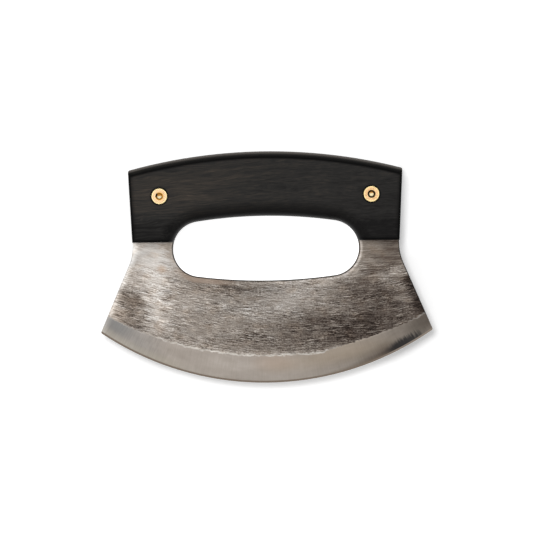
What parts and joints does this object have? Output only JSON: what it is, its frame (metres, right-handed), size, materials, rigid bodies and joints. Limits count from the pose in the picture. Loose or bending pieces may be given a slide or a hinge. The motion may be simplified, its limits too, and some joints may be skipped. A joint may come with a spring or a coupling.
{
  "type": "ulu knife",
  "caption": "Crescent-bladed rocking knife with a full-length steel plate between two wooden scales, held by flush brass sleeve nuts, for chopping and skinning.",
  "frame": {"origin": "middle of the knife's outline, on the table that the rear scale lies on", "axes": "+X along the handle to the right as seen from the front, +Y from the cutting edge towards the back of the handle, +Z out of the front scale, square to the blade"},
  "size_m": [0.165, 0.115, 0.021],
  "materials": {
    "steel": "dark forge scale with long streaks, ground bright along the edge",
    "black_wood": "satin black wood with fine brownish grain along the handle",
    "brass": "satin"
  },
  "bodies": {
    "root": {"blade": "steel", "front_scale": "black_wood", "rear_scale": "black_wood", "left_sleeve_nut": "brass", "right_sleeve_nut": "brass", "left_sleeve_screw": "brass", "right_sleeve_screw": "brass"}
  },
  "joints": []
}
